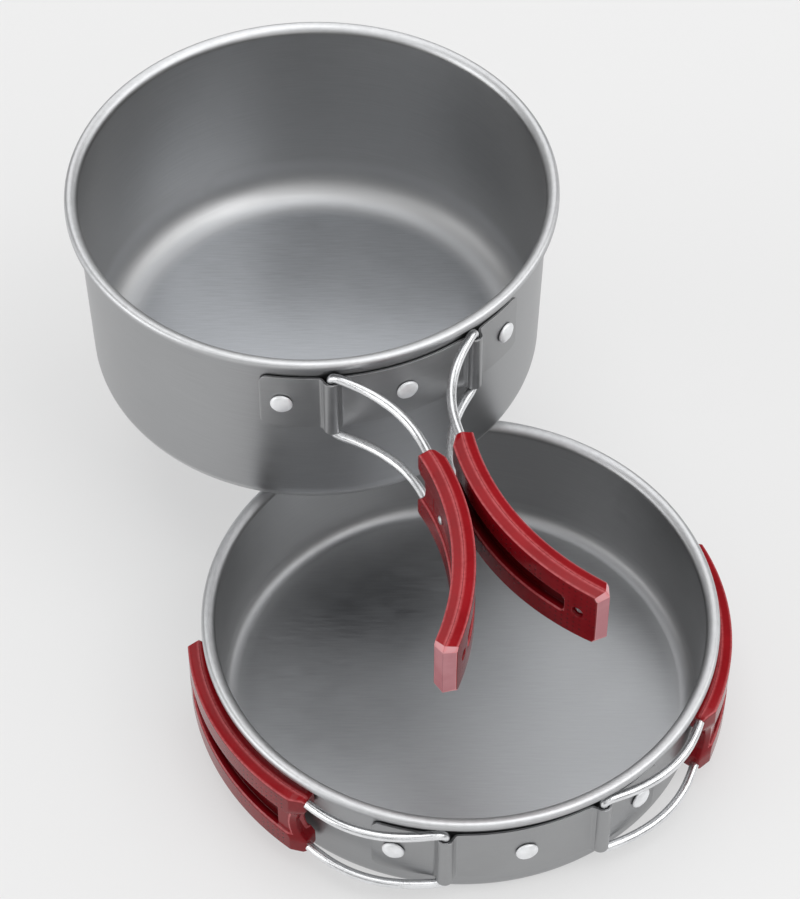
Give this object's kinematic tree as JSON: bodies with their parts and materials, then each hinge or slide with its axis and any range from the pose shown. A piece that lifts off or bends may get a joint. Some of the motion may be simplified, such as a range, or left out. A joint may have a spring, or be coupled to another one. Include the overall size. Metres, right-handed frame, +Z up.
{
  "type": "camping cook set",
  "caption": "Camping cook set in grey anodised aluminium: a deep pot standing on the rim of a shallow frying pan, with wire handles that fold flat round the walls and dark red grips.",
  "frame": {"origin": "centre of the frying pan's flat base, on the surface it stands on", "axes": "+Z up; the pan's handle bracket faces -Y, which is towards the cook; the pot stands towards +Y; +X is to the cook's right"},
  "size_m": [0.1977, 0.3062, 0.1257],
  "materials": {
    "shell": "satin hard-anodised grey, fine brush lines on the floor",
    "bracket": "satin hard-anodised grey",
    "rivet": "bright, lightly hammered",
    "wire": "bright drawn stainless steel wire",
    "grip": "glossy dark red moulded plastic",
    "screw": "bright steel"
  },
  "bodies": {
    "pan": {"pan_shell": "shell", "pan_bracket": "bracket", "pan_rivet_left": "rivet", "pan_rivet_middle": "rivet", "pan_rivet_right": "rivet"},
    "pot": {"pot_shell": "shell", "pot_bracket": "bracket", "pot_rivet_left": "rivet", "pot_rivet_middle": "rivet", "pot_rivet_right": "rivet"},
    "pan_left_handle": {"pan_left_wire": "wire", "pan_left_grip_inner": "grip", "pan_left_grip_outer": "grip", "pan_left_grip_screw": "screw", "pan_left_grip_pin": "screw"},
    "pan_right_handle": {"pan_right_wire": "wire", "pan_right_grip_inner": "grip", "pan_right_grip_outer": "grip", "pan_right_grip_screw": "screw", "pan_right_grip_pin": "screw"},
    "pot_left_handle": {"pot_left_wire": "wire", "pot_left_grip_inner": "grip", "pot_left_grip_outer": "grip", "pot_left_grip_screw": "screw", "pot_left_grip_pin": "screw"},
    "pot_right_handle": {"pot_right_wire": "wire", "pot_right_grip_inner": "grip", "pot_right_grip_outer": "grip", "pot_right_grip_screw": "screw", "pot_right_grip_pin": "screw"}
  },
  "joints": [
    {"name": "pan_left_handle_hinge", "type": "hinge", "parent": "pan", "child": "pan_left_handle", "pos_m": [-0.02661, -0.0819, 0.024], "axis": [0, 0, 1], "range_deg": [0, 147]},
    {"name": "pan_right_handle_hinge", "type": "hinge", "parent": "pan", "child": "pan_right_handle", "pos_m": [0.02661, -0.0819, 0.024], "axis": [0, 0, -1], "range_deg": [0, 147]},
    {"name": "pot_left_handle_hinge", "type": "hinge", "parent": "pot", "child": "pot_left_handle", "pos_m": [-0.03211, 0.04965, 0.1043], "axis": [0, 0, 1], "range_deg": [-142, 0]},
    {"name": "pot_right_handle_hinge", "type": "hinge", "parent": "pot", "child": "pot_right_handle", "pos_m": [0.01911, 0.0579, 0.1043], "axis": [0, 0, -1], "range_deg": [-150.4, 0]},
    {"name": "pot_lift", "type": "slide", "parent": "pan", "child": "pot", "axis": [0, 0, 1], "range_m": [0, 0.15]}
  ]
}
